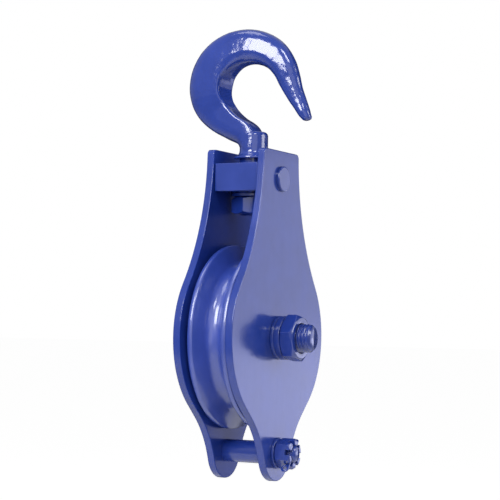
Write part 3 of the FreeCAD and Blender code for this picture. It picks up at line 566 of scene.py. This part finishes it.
# %% Sections of the hook
THROAT, SWELL, TIP_ROOT = -37.5, 30, 153           # places round the bowl, in degrees
RIDGE_FROM, RIDGE_OVER = 10, 80                    # where the ridge starts and how long it takes, in degrees
STEM, THROAT_SIZE, SWELL_SIZE = (18.2 * MM, 20.8 * MM), (24.1 * MM, 19.5 * MM), (28.5 * MM, 24.5 * MM)
ROOT_SIZE, TIP_SIZE = (18.4 * MM, 15.5 * MM), (7.6 * MM, 9 * MM)
THROAT_LATE, ROOT_LATE, NECK_LATE = 2.5, 1.64, 4.2  # powers: how late a size changes on its way
STEM_START, STEM_SUNK = tilt_height + 20.7 * MM, 5 * MM
STEM_PULL, THROAT_PULL = 0.85, 0.97                # the handles of the neck's curve, in widths of the stem
TIP_LENGTH, TIP_FLARE = 42.7 * MM, math.radians(26)
TIP_FORM, TIP_HOLLOW, TIP_BEND = 0.2, 1.7 * MM, 2 * MM


def blend(start, end, share, power=1):
    return start + (end - start) * share ** power


def bowl_section(degrees):
    """Centre, outward angle, width, thickness, form and ridge of a section of the bowl."""
    if degrees < SWELL:
        share, power, size = (SWELL - degrees) / (SWELL - THROAT), THROAT_LATE, THROAT_SIZE
    else:
        share, power, size = (degrees - SWELL) / (TIP_ROOT - SWELL), ROOT_LATE, ROOT_SIZE
    width, thickness = (blend(most, least, share, power) for most, least in zip(SWELL_SIZE, size))
    turn = math.radians(degrees)
    inside = BOWL_CENTRE + Vector((0, BOWL_WIDE * math.cos(turn), BOWL_DEEP * math.sin(turn)))
    outward = Vector((0, math.cos(turn) / BOWL_WIDE, math.sin(turn) / BOWL_DEEP)).normalized()
    ridge = min(1, max(0, (degrees - RIDGE_FROM) / RIDGE_OVER))
    return inside + outward * (width / 2), math.atan2(outward.z, outward.y), width, thickness, 1, ridge


def neck_sections():
    """The bend from inside the round neck into the bowl."""
    throat = bowl_section(THROAT)
    start = Vector((0, 0, STEM_START))
    ahead = Vector((0, -math.sin(throat[1]), math.cos(throat[1])))
    handles = [start, start + Vector((0, 0, STEM[0] * STEM_PULL)),
               throat[0] - ahead * (STEM[0] * THROAT_PULL), throat[0]]
    sections = [(start - Vector((0, 0, STEM_SUNK)), 0, *STEM, 0, 0)]
    for share in (0, 0.34, 0.67):
        rest = 1 - share
        weights = (rest ** 3, 3 * rest ** 2 * share, 3 * rest * share ** 2, share ** 3)
        slopes = (-rest ** 2, rest ** 2 - 2 * rest * share, 2 * rest * share - share ** 2, share ** 2)
        centre = sum((handle * weight for handle, weight in zip(handles, weights)), Vector())
        along = sum((handle * slope for handle, slope in zip(handles, slopes)), Vector())
        sections.append((centre, math.atan2(-along.y, along.z), blend(STEM[0], throat[2], share, NECK_LATE),
                         blend(STEM[1], throat[3], share), min(1, share * 2.2), 0))
    return sections


def tip_sections():
    """The slim tip with a shallow hollow in its outer side and a round end."""
    root = bowl_section(TIP_ROOT)
    angle = math.pi - TIP_FLARE
    along = Vector((0, -math.sin(TIP_FLARE), -math.cos(TIP_FLARE)))
    outward = Vector((0, math.cos(angle), math.sin(angle)))
    width, thickness = TIP_SIZE
    straight = TIP_LENGTH - width / 2
    sections = []
    for share in (0.25, 0.5, 0.75, 1):
        cut = TIP_HOLLOW * math.sin(math.pi * share) ** 2
        sections.append((root[0] + along * (straight * share) - outward * (cut / 2), angle,
                         blend(root[2], width, share, 1.7) - cut, blend(root[3], thickness, share, 0.9),
                         blend(1, TIP_FORM, share), 1))
    for turn in (35, 60, 78):
        lean = math.radians(turn)
        shift = outward * (TIP_BEND * (1 - math.cos(lean)))
        sections.append((root[0] + along * (straight + width / 2 * math.sin(lean)) + shift, angle,
                         width * math.cos(lean), thickness * math.cos(lean), TIP_FORM, 1))
    return sections


def between(sections, steps):
    """Fill in sections along smooth curves through the values of the given ones."""
    rows = [(*section[0], *section[1:]) for section in sections]
    spans = [(after[0] - before[0]).length for before, after in zip(sections, sections[1:])]
    steep = [[(q - p) / span for p, q in zip(row, after)]
             for row, after, span in zip(rows, rows[1:], spans)]
    slopes = [steep[0]]
    for here, there, span, far in zip(steep, steep[1:], spans, spans[1:]):
        slopes.append([(p * far + q * span) / (span + far) for p, q in zip(here, there)])
    slopes.append(steep[-1])
    filled = []
    for index, span in enumerate(spans):
        for step in range(steps):
            t = step / steps
            stay, leave = 2 * t ** 3 - 3 * t * t + 1, (t ** 3 - 2 * t * t + t) * span
            come, arrive = 3 * t * t - 2 * t ** 3, (t ** 3 - t * t) * span
            row = [stay * a + leave * b + come * c + arrive * d for a, b, c, d in
                   zip(rows[index], slopes[index], rows[index + 1], slopes[index + 1])]
            filled.append((Vector(row[:3]), *row[3:]))
    filled.append(sections[-1])
    return filled


bowl = [bowl_section(THROAT + (SWELL - THROAT) * step / 4) for step in range(4)]
bowl += [bowl_section(SWELL + (TIP_ROOT - SWELL) * step / 5) for step in range(6)]
hook_sections = between(neck_sections() + bowl + tip_sections(), 8)
print("hook made of", len(hook_sections), "sections")

# %% [markdown]
# ## Skin the hook
#
# Each section becomes a ring of points. Where the form is 0 the ring is a round, as in the neck. Where it
# is 1 the ring follows a forged outline. At the throat that outline is a box with rounded corners, so that a
# sharp fold runs along the flank beside the inner face; towards the top of the bowl the fold widens into a
# bevel and the flank slopes outwards from a soft ridge. A slow noise pushes the skin in by a fraction of
# a millimetre, as hammer and die leave it.

# %% Rings, skin and hammer marks
# half a section from its inner edge to its outer edge: place across and half thickness
THROAT_FLANK = [(-1, 0), (-1, 0.45), (-0.995, 0.78), (-0.965, 0.92), (-0.90, 0.985), (-0.80, 1.0),
                (-0.45, 1.0), (0, 0.98), (0.45, 0.90), (0.80, 0.68), (0.96, 0.36), (1, 0)]
BOWL_FLANK = [(-1, 0), (-0.97, 0.32), (-0.88, 0.62), (-0.70, 0.86), (-0.50, 0.98), (-0.30, 1.03),
              (0.08, 0.97), (0.48, 0.87), (0.80, 0.67), (0.95, 0.38), (1, 0)]
HALF = 44                                          # points on half a ring
HAMMER_DEEP, HAMMER_SIZE = 0.2 * MM, 9 * MM


def smooth_flank(table, count, fine=8):
    """Even steps along a smooth curve through the flank's points."""
    ends = [(table[1][0], -table[1][1])] + table + [(table[-2][0], -table[-2][1])]
    curve = []
    for before, start, end, after in zip(ends, ends[1:], ends[2:], ends[3:]):
        for step in range(fine):
            t = step / fine
            curve.append(tuple(0.5 * (2 * b + (c - a) * t + (2 * a - 5 * b + 4 * c - d) * t * t
                                      + (3 * b - a - 3 * c + d) * t ** 3)
                               for a, b, c, d in zip(before, start, end, after)))
    curve.append(table[-1])
    lengths = [0]
    for (x0, y0), (x1, y1) in zip(curve, curve[1:]):
        lengths.append(lengths[-1] + math.hypot(x1 - x0, y1 - y0))
    picked = []
    for step in range(count + 1):
        want = lengths[-1] * step / count
        index = max(i for i, length in enumerate(lengths) if length <= want + 1e-9)
        index = min(index, len(curve) - 2)
        share = (want - lengths[index]) / (lengths[index + 1] - lengths[index])
        picked.append(tuple(a + (b - a) * share for a, b in zip(curve[index], curve[index + 1])))
    return picked


throat_flank, bowl_flank = smooth_flank(THROAT_FLANK, HALF), smooth_flank(BOWL_FLANK, HALF)


def hook_ring(section):
    centre, angle, width, thickness, form, ridge = section
    form, ridge = min(1, max(0, form)), min(1, max(0, ridge))
    outward = Vector((0, math.cos(angle), math.sin(angle)))
    ring = []
    for number in range(2 * HALF):
        index, side = (number, 1) if number <= HALF else (2 * HALF - number, -1)
        round_turn = math.pi - math.pi * index / HALF
        plain = (math.cos(round_turn), math.sin(round_turn))
        forged = [blend(a, b, ridge) for a, b in zip(throat_flank[index], bowl_flank[index])]
        across, half = (blend(a, b, form) for a, b in zip(plain, forged))
        ring.append(centre + outward * (across * width / 2) + Vector((side * half * thickness / 2, 0, 0)))
    return ring


def hammered(piece, depth, size):
    """Push the skin in by a slow noise, never outwards."""
    mesh = piece.data
    normals = [vertex.normal.copy() for vertex in mesh.vertices]
    for vertex, normal in zip(mesh.vertices, normals):
        amount = noise.fractal(vertex.co / size, 0.6, 2.0, 3) * 0.5 + 0.5
        vertex.co -= normal * (depth * min(1, max(0, amount)))


hook_rings = [hook_ring(section) for section in hook_sections]
hook = from_rings("hook_dressed", hook_rings, "forging_enamel", crisp=60)
hammered(hook, HAMMER_DEEP, HAMMER_SIZE)
print("hook skin has", len(hook.data.vertices), "points")

# %% [markdown]
# ## Neck, collar and shank of the hook
#
# Below the bend the hook is turned: a round neck with a shoulder, a hollow flare down to a collar, then a
# straight shank that passes the crosshead and ends under a hexagon nut. This piece turns about Z, so a short
# helper of its own spins it. It is parented to the hook and moves with it.

# %% Turn the neck, the collar and the shank
def upright(name, profile, finish, steps=96, crisp=40):
    """Spin a profile of (radius, z) about Z."""
    turns = [2 * math.pi * step / steps for step in range(steps)]
    rings = [[Vector((radius * math.cos(t), radius * math.sin(t), z)) for t in turns]
             for radius, z in profile]
    return from_rings(name, rings, finish, crisp)


NECK, NECK_TOP, SHOULDER = 10.2 * MM, tilt_height + 34.5 * MM, 3 * MM
SHANK, SHANK_END, END_CHAMFER = 10 * MM, 9 * MM, 1.5 * MM
COLLAR, COLLAR_EDGE, FLARE = 14 * MM, 0.4 * MM, 4.8 * MM
cross_top, shank_end = high("crosshead").z, low("hook").z
washer_top = high("hook_washer").z
collar_low, collar_high = cross_top + 4.7 * MM, cross_top + 6.3 * MM
profile = [(SHANK_END - END_CHAMFER, shank_end), (SHANK_END, shank_end + END_CHAMFER),
           (SHANK_END, washer_top), (SHANK, washer_top),
           (SHANK, collar_low), (COLLAR - COLLAR_EDGE, collar_low),
           (COLLAR, collar_low + COLLAR_EDGE), (COLLAR, collar_high - COLLAR_EDGE),
           (COLLAR - 0.15 * MM, collar_high - 0.1 * MM)]
profile += arc((NECK + FLARE, collar_high + 4.72 * MM), FLARE, 252.5, 180, 10)
profile += arc((NECK - SHOULDER, NECK_TOP - SHOULDER), SHOULDER, 0, 88, 8)
shank = upright("hook_shank_dressed", profile, "forging_enamel")
shank.parent = hook
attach(hook, "hook")
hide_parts("hook")
print("collar %.1f mm above the crosshead" % ((collar_low - cross_top) / MM))

# %% [markdown]
# ## The hook's nut, its pin and its washer
#
# Under the crosshead the hook hangs on a thick washer and a tall nut, and a pin through the nut stops it from
# turning off. The helpers above work along Y, so washer and nut are made lying down and then stood up along
# Z, while the pin lies along Y anyway.

# %% Make the hook's nut, pin and washer
def stood_up(piece, node):
    """Turn a piece made along Y so that it stands along Z, and give it the place of its solid."""
    piece.data.transform(Matrix.Rotation(math.radians(90), 4, "X"))
    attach(piece, "hook")
    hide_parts(node)


washer_section = washer_edge(9.3 * MM, high("hook_washer").x, low("hook_washer").z, washer_top, 0.6 * MM)
stood_up(turned("hook_washer_dressed", washer_section, "fastener_enamel", 96, 50, True), "hook_washer")
nut_low, nut_high = low("hook_nut").z, high("hook_nut").z
nut_width = high("hook_nut").y - low("hook_nut").y
stood_up(hexagon_nut("hook_nut_dressed", nut_width, nut_high, nut_low, SHANK_END + BORE_GAP,
                     math.radians(30)), "hook_nut")
pin_radius = (high("hook_nut_pin").x - low("hook_nut_pin").x) / 2
pin_height = (nut_low + nut_high) / 2
# shares of the pin's radius, and how far each stands out of the nut
rounding = [(0.3, 0.25 * MM), (0.8, 0.15 * MM), (1, -0.2 * MM)]
pin_rings = [plain_ring(pin_radius * share, side * (nut_width / 2 + proud), pin_height)
             for side, rows in ((-1, rounding), (1, rounding[::-1])) for share, proud in rows]
pin = from_rings("hook_nut_pin_dressed", pin_rings, "fastener_enamel", 60)
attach(pin, "hook")
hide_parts("hook_nut_pin")
print("hook nut %.1f mm across flats, %.1f mm high" % (nut_width / MM, (nut_high - nut_low) / MM))

# %% [markdown]
# ## The tie bolt
#
# At the bottom a second bolt holds the plates apart on a spacer tube. It has a low round head on the far
# side and a slotted nut on the near side, locked by a split pin. The pin keeps its solid shape. All of it was
# painted over with the rest.

# %% Build the tie bolt
TIE_RADIUS, TIE_PITCH = 6 * MM, 1.75 * MM
# radius and depth below the top of the head, in mm
TIE_HEAD = [(2, 0), (8.4, 0), (9.3, 0.4), (9.85, 1.2), (10, 2)]
tie_end, tie_back = low("tie_bolt").y, high("tie_bolt").y
tie_nut_seat, tie_nut_face = high("tie_nut").y, low("tie_nut").y
cheek_back = high("cheek_left").y


def make_tie_bolt():
    rows = [(radius * MM, tie_back - deep * MM) for radius, deep in TIE_HEAD]
    rows += [(rows[-1][0], cheek_back), (TIE_RADIUS, cheek_back), (TIE_RADIUS, tie_nut_seat)]
    rings = [plain_ring(radius, along, tie_height) for radius, along in rows]
    rings += threaded_rings(TIE_RADIUS, TIE_PITCH, tie_nut_seat - THREAD_START, tie_end, 1.2 * MM, tie_height)
    bolt = from_rings("tie_bolt_dressed", rings, "fastener_enamel", crisp=50)
    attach(bolt, "frame")
    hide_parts("tie_bolt")


make_tie_bolt()
print("tie bolt %.1f mm long" % ((tie_back - tie_end) / MM))

# %% [markdown]
# ## The slotted nut
#
# Three slots cross the outer end of this nut, so that the split pin can pass in one of three directions. Each
# ring round the nut has its points doubled at the sides of the slots, once at the height of the end and once
# at the bottom of the slot, so the slots get straight walls without any cutting.

# %% Make the slotted nut
TIE_HEX, SLOT, SLOT_DEEP, PIN_TURN = 19 * MM, 3.6 * MM, 3.9 * MM, math.radians(50)
MOUTH = 0.5 * MM                                   # the bore opens by this much at both ends


def slotted_ring(reach, side, top, floor):
    """A ring with a slot in each flat: side is the half angle of a slot, the rest may depend on the turn."""
    def at(value, turn):
        return value(turn) if callable(value) else value

    corner = math.pi / 6
    points = []
    for middle in (2 * corner * flat for flat in range(6)):
        spots = [(middle - corner + (corner - side) * share, top) for share in (0, 0.25, 0.5, 0.75, 1)]
        spots += [(middle + side * share, floor) for share in (-1, -0.5, 0, 0.5, 1)]
        spots += [(middle + side + (corner - side) * share, top) for share in (0, 0.25, 0.5, 0.75)]
        points += [on_axle(at(reach, turn), turn + PIN_TURN, at(level, turn), tie_height)
                   for turn, level in spots]
    return points


def make_slotted_nut(width, seat, face, bore):
    """A hexagon nut towards -Y with six notches in its end."""
    land, half, bottom = width * LAND, SLOT / 2, face + SLOT_DEEP

    def flats(turn):
        return hexagon_reach(width, turn)

    def near_end(turn):
        return face + max(0, flats(turn) - land) * TURNED_OFF

    def far_end(turn):
        return seat - max(0, flats(turn) - land) * TURNED_OFF

    at_flats, at_land, at_mouth, at_bore = (math.atan(half / (width / 2)), math.asin(half / land),
                                            math.asin(half / (bore + MOUTH)), math.asin(half / bore))
    rings = [slotted_ring(*row) for row in (
        (land, at_land, seat, seat), (flats, at_flats, far_end, far_end), (flats, at_flats, bottom, bottom),
        (flats, at_flats, near_end, bottom), (land, at_land, face, bottom),
        (bore + MOUTH, at_mouth, face, bottom), (bore, at_bore, face + MOUTH, bottom),
        (bore, at_bore, bottom, bottom), (bore, at_bore, seat - MOUTH, seat - MOUTH),
        (bore + MOUTH, at_mouth, seat, seat))]
    nut = soften(from_rings("tie_nut_dressed", rings, "fastener_enamel", loop=True), 0.25 * MM)
    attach(nut, "frame")
    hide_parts("tie_nut")
    return nut


tie_nut = make_slotted_nut(TIE_HEX, tie_nut_seat, tie_nut_face, TIE_RADIUS + BORE_GAP)
print("slotted nut has", len(tie_nut.data.polygons), "faces")

# %% [markdown]
# ## Floor and world
#
# The photo shows the block hanging in front of plain white, with no ground in sight. The floor is set well
# below it, so that its shadow falls out of the picture. The world is white to the camera, lights the block
# softly, and is only a little brighter than that in reflections, so that the enamel stays deep blue.

# %% Floor and world
FLOOR_LEVEL, FLOOR_HALF, FLOOR_GLOW = -0.5, 30, 0.7
ROOM_LIGHT, MIRRORED = 0.32, 0.15                  # the world's light, and its share of white in reflections


def white_floor():
    material = bpy.data.materials.new("pale floor")
    material.use_nodes = True
    nodes, links = material.node_tree.nodes, material.node_tree.links
    nodes.clear()
    path = nodes.new("ShaderNodeLightPath")
    dull = nodes.new("ShaderNodeBsdfDiffuse")
    dull.inputs["Color"].default_value = (0.9, 0.9, 0.9, 1)
    glow = nodes.new("ShaderNodeEmission")
    lift = nodes.new("ShaderNodeMath")
    lift.operation = "MULTIPLY"
    lift.inputs[1].default_value = FLOOR_GLOW
    both = nodes.new("ShaderNodeAddShader")
    out = nodes.new("ShaderNodeOutputMaterial")
    links.new(path.outputs["Is Camera Ray"], lift.inputs[0])
    links.new(lift.outputs[0], glow.inputs["Strength"])
    links.new(dull.outputs[0], both.inputs[0])
    links.new(glow.outputs[0], both.inputs[1])
    links.new(both.outputs[0], out.inputs["Surface"])
    return material


floor_mesh = bpy.data.meshes.new("floor")
floor_mesh.from_pydata([(x * FLOOR_HALF, y * FLOOR_HALF, FLOOR_LEVEL)
                        for x, y in ((-1, -1), (1, -1), (1, 1), (-1, 1))], [], [(0, 1, 2, 3)])
floor_mesh.materials.append(white_floor())
floor = bpy.data.objects.new("floor", floor_mesh)
bpy.context.scene.collection.objects.link(floor)

world = bpy.data.worlds.new("studio")
bpy.context.scene.world = world
world.use_nodes = True
sky, wires = world.node_tree.nodes, world.node_tree.links
backdrop = sky["Background"]
seen = sky.new("ShaderNodeLightPath")
pale = sky.new("ShaderNodeMath")
pale.operation = "MAXIMUM"
wires.new(seen.outputs["Is Glossy Ray"], pale.inputs[0])
wires.new(seen.outputs["Is Transmission Ray"], pale.inputs[1])
whiteness = sky.new("ShaderNodeMath")
whiteness.operation = "MULTIPLY_ADD"
wires.new(pale.outputs[0], whiteness.inputs[0])
whiteness.inputs[1].default_value = MIRRORED
wires.new(seen.outputs["Is Camera Ray"], whiteness.inputs[2])
strength = sky.new("ShaderNodeMix")
wires.new(whiteness.outputs[0], strength.inputs["Factor"])
strength.inputs["A"].default_value = ROOM_LIGHT
strength.inputs["B"].default_value = 1.0
wires.new(strength.outputs["Result"], backdrop.inputs["Strength"])
backdrop.inputs["Color"].default_value = (1, 1, 1, 1)
print("floor %.2f m below the axle" % -FLOOR_LEVEL)

# %% [markdown]
# ## Lamps
#
# Two panels stand behind and to the right, level with the block. The near plate mirrors them, which makes
# it paler than the rest, and it mirrors its own nuts as dark shapes. A panel high in front to the left puts
# the broad gleam on the hook, and a small, higher one the glints on the groove, the rims and the threads. A
# wide, faint one fills in beside the camera, one to the side lights the edges, and one overhead the tops.
# Each panel's power follows from the brightness wanted on its face, so it can be moved or resized without
# changing how it looks in a reflection.

# %% Hang the panels
TARGET = Vector((0, 0, 0.06))
WHITE, VIOLET = (1, 1, 1), (0.92, 0.95, 1.35)
# name, direction from the target, distance, width, height, brightness of the face, colour
PANELS = [
    ("raking panel", (0.885, -0.464, -0.03), 1.5, 0.9, 0.63, 0.76, VIOLET),
    ("low panel", (0.885, -0.464, -0.137), 1.5, 0.9, 0.25, 1.0, VIOLET),
    ("front panel", (-0.87, 0.12, 0.50), 1.2, 0.55, 0.60, 13, WHITE),
    ("high panel", (-0.58, -0.46, 0.67), 1.2, 0.26, 0.26, 14, WHITE),
    ("fill panel", (-0.80, -0.55, 0.12), 1.35, 1.0, 1.0, 0.9, WHITE),
    ("side panel", (0.42, -0.85, 0.36), 1.25, 0.90, 0.60, 4.8, WHITE),
    ("overhead panel", (-0.2, 0.2, 0.95), 1.2, 0.50, 0.50, 3, WHITE)]

for name, towards, distance, width, height, brightness, colour in PANELS:
    lamp = bpy.data.lights.new(name, "AREA")
    lamp.shape = "RECTANGLE"
    lamp.size = width
    lamp.size_y = height
    lamp.energy = brightness * math.pi * width * height
    lamp.color = colour
    panel = bpy.data.objects.new(name, lamp)
    bpy.context.scene.collection.objects.link(panel)
    aim = Vector(towards).normalized()
    panel.location = TARGET + aim * distance
    panel.rotation_mode = "QUATERNION"
    panel.rotation_quaternion = aim.to_track_quat("Z", "Y")
print("panels hung:", len(PANELS))

# %% [markdown]
# ## Dark cards
#
# Glossy paint mirrors whatever stands behind it along its outline. Against white it would fade into the
# background there, so a studio hangs a dark card behind the piece, and the outline stays deep blue. A second
# card hangs high before the raking panel, so that only the plates mirror the panel and the hook stays dark.
# The cards show only in reflections: they take no light away and the camera doesn't see them.

# %% Hang the cards
CARD_AWAY = 0.7


def dark_card(name, aim, half_width, bottom, top):
    material = bpy.data.materials.new(name)
    material.use_nodes = True
    surface = material.node_tree.nodes["Principled BSDF"]
    surface.inputs["Base Color"].default_value = (0.01, 0.01, 0.012, 1)
    surface.inputs["Roughness"].default_value = 0.9
    aim = Vector(aim).normalized()
    middle, across = aim * CARD_AWAY, Vector((-aim.y, aim.x, 0)) * half_width
    corners = [middle - across, middle + across]
    mesh = bpy.data.meshes.new(name)
    mesh.from_pydata([corner + Vector((0, 0, bottom)) for corner in corners]
                     + [corner + Vector((0, 0, top)) for corner in reversed(corners)], [], [(0, 1, 2, 3)])
    mesh.materials.append(material)
    card = bpy.data.objects.new(name, mesh)
    bpy.context.scene.collection.objects.link(card)
    card.visible_camera = card.visible_diffuse = card.visible_shadow = card.visible_transmission = False


dark_card("card behind", (0.84, 0.54, 0), 0.6, -0.48, 0.60)
dark_card("card above", (0.885, -0.464, 0), 0.4, 0.22, 0.80)
print("cards hang %.1f m from the block" % CARD_AWAY)

# %% [markdown]
# ## Camera
#
# The picture was taken from the left front corner, almost level, with a long lens. The angles, the
# distance and the lens were found by laying the solid model's outline over the block's outline.

# %% Set up the camera
AZIMUTH, ELEVATION, ROLL = math.radians(-62.33), math.radians(-2.58), math.radians(0.98)
DISTANCE, FOCAL_PIXELS, IMAGE = 1.1225, 1565.9, 500
ORIGIN_AT = (250.64, 337.12)                       # where the frame's origin falls in the picture, in pixels
level = math.cos(ELEVATION)
back = Vector((math.sin(AZIMUTH) * level, -math.cos(AZIMUTH) * level, math.sin(ELEVATION)))
right = Vector((math.cos(AZIMUTH), math.sin(AZIMUTH), 0))
up = back.cross(right)
right_rolled = right * math.cos(ROLL) + up * math.sin(ROLL)
up_rolled = -right * math.sin(ROLL) + up * math.cos(ROLL)
scale = DISTANCE / FOCAL_PIXELS
lens = bpy.data.cameras.new("camera")
lens.sensor_width = 36
lens.lens = FOCAL_PIXELS / IMAGE * lens.sensor_width
lens.clip_start, lens.clip_end = 0.01, 100
camera = bpy.data.objects.new("camera", lens)
bpy.context.scene.collection.objects.link(camera)
camera.location = (back * DISTANCE - right_rolled * ((ORIGIN_AT[0] - IMAGE / 2) * scale)
                   + up_rolled * ((ORIGIN_AT[1] - IMAGE / 2) * scale))
camera.rotation_mode = "QUATERNION"
camera.rotation_quaternion = Matrix((right_rolled, up_rolled, back)).transposed().to_quaternion()
bpy.context.scene.camera = camera
bpy.context.scene.view_settings.view_transform = "Standard"
print("lens %.1f mm, camera %.2f m away" % (lens.lens, DISTANCE))
